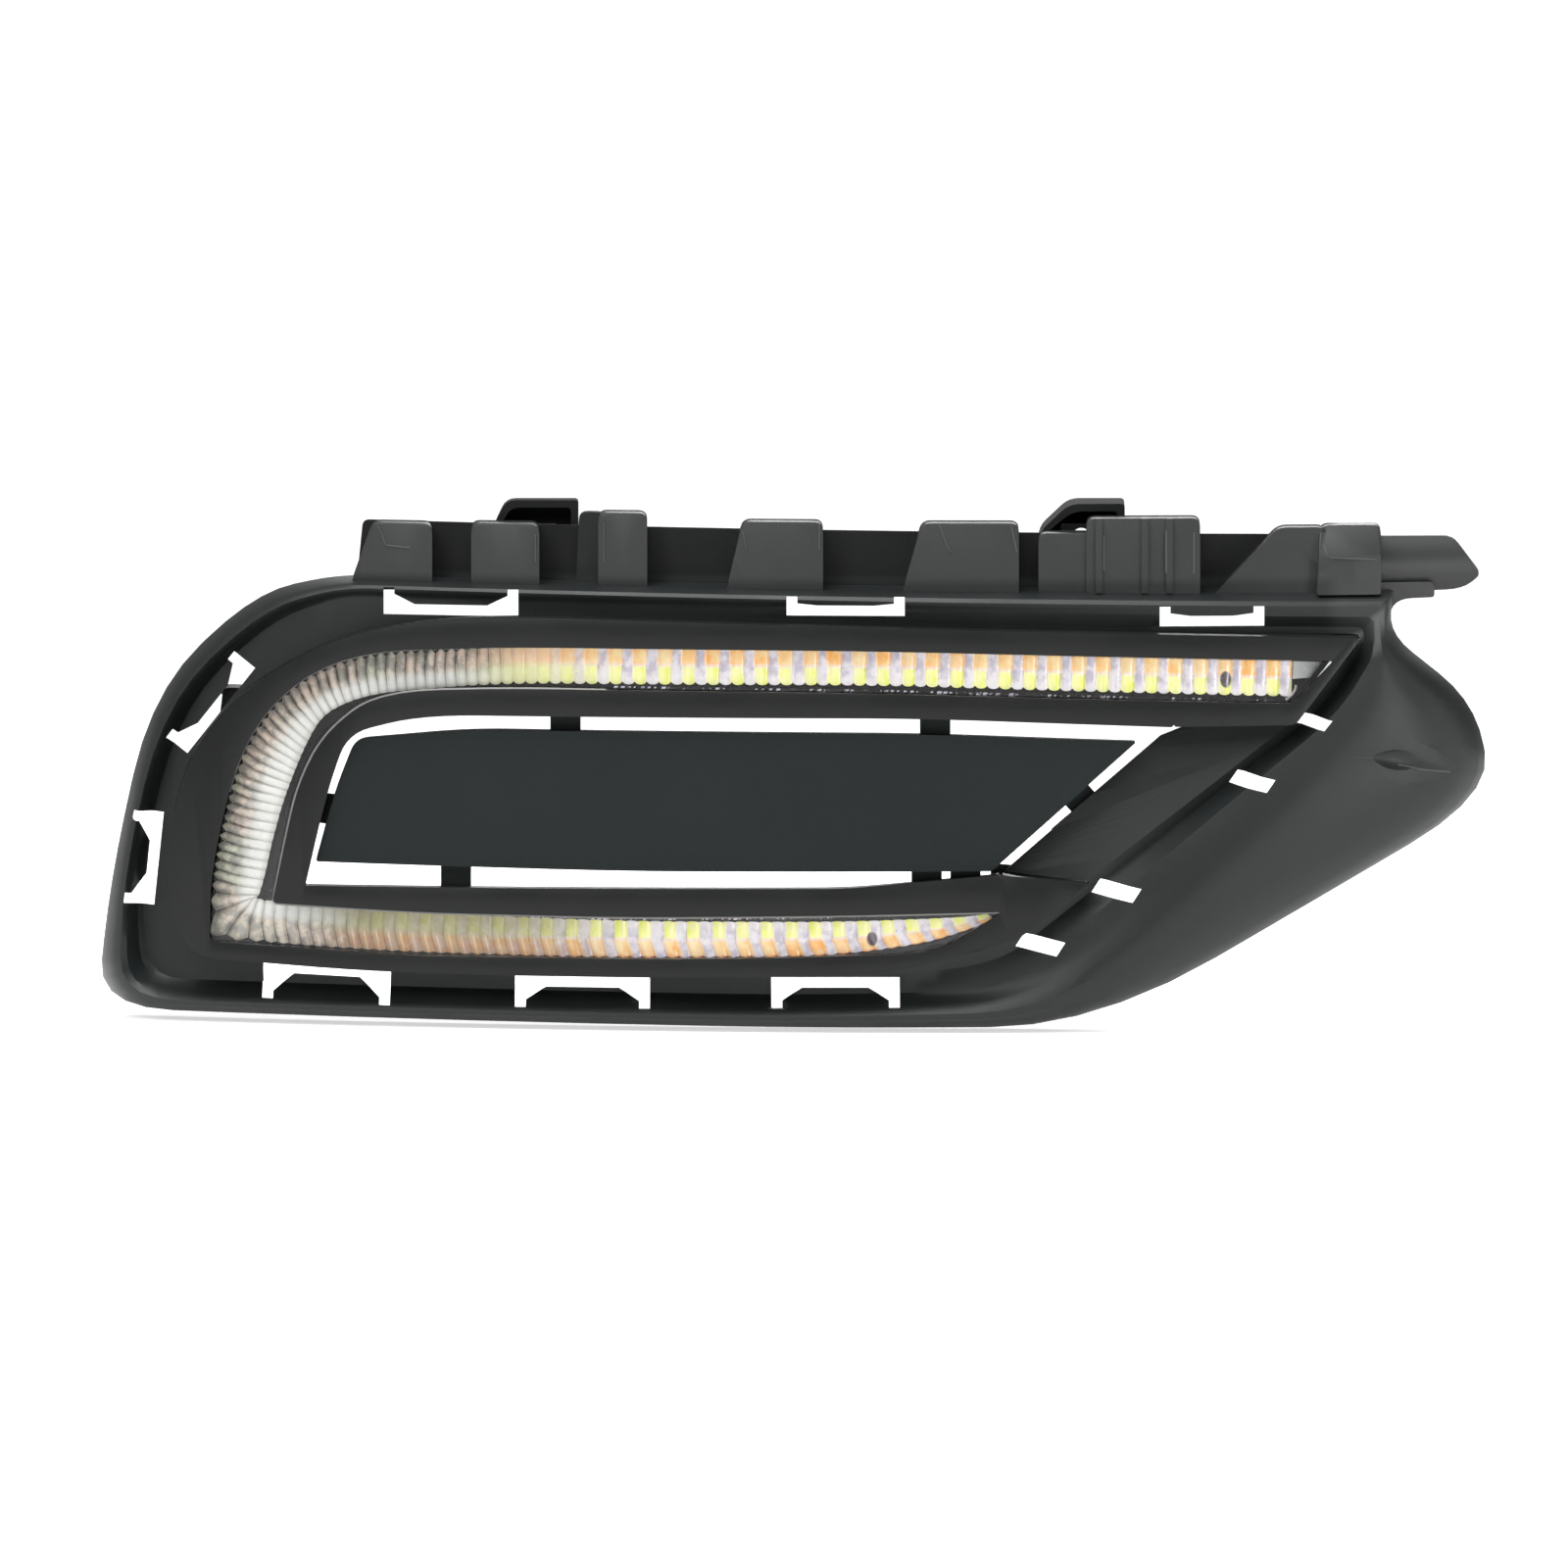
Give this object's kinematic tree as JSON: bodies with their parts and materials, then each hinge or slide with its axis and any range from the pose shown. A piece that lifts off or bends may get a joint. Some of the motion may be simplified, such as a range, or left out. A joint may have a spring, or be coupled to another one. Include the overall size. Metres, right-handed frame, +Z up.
{
  "type": "daytime running light",
  "caption": "Bowed bumper bezel with a C shaped light bar of amber and white cells, a blank panel in its mouth and a corrugated mounting rail.",
  "frame": {"origin": "midway between the two mounting holes, on the rear face of their lugs", "axes": "+X to the right seen from the front, +Y to the rear of the light, +Z up"},
  "size_m": [0.4111, 0.0937, 0.1554],
  "materials": {
    "frame_black": "grained satin",
    "blank_black": "fine satin",
    "trim_grey": "satin",
    "lens_clear": "polished",
    "optic_clear": "fluted",
    "reflector_silver": "metallised",
    "seal_black": "matte",
    "housing_grey": "as moulded",
    "board_white": "solder mask",
    "board_green": "solder mask",
    "white_led": "phosphor",
    "amber_led": "phosphor",
    "link_copper": "flexible circuit",
    "part_black": "moulded",
    "coil_grey": "ferrite",
    "screw_steel": "zinc plated",
    "pin_brass": "plated",
    "clip_steel": "spring steel"
  },
  "bodies": {
    "root": {"bezel_frame": "frame_black", "centre_blank": "blank_black", "lamp_trim": "trim_grey", "outer_lens": "lens_clear", "fluted_optic": "optic_clear", "reflector": "reflector_silver", "lens_seal": "seal_black", "lamp_housing": "housing_grey", "led_strip_upper": "board_white", "led_strip_corner": "board_white", "led_strip_lower": "board_white", "white_leds": "white_led", "amber_leds": "amber_led", "strip_links": "link_copper", "driver_case": "housing_grey", "driver_seal": "seal_black", "driver_board": "board_green", "driver_parts": "part_black", "driver_coil": "coil_grey", "driver_cover": "housing_grey", "cover_screws": "screw_steel", "connector_pins": "pin_brass", "vent_plug": "seal_black", "housing_screws": "screw_steel", "nut_clips": "clip_steel"}
  },
  "joints": []
}
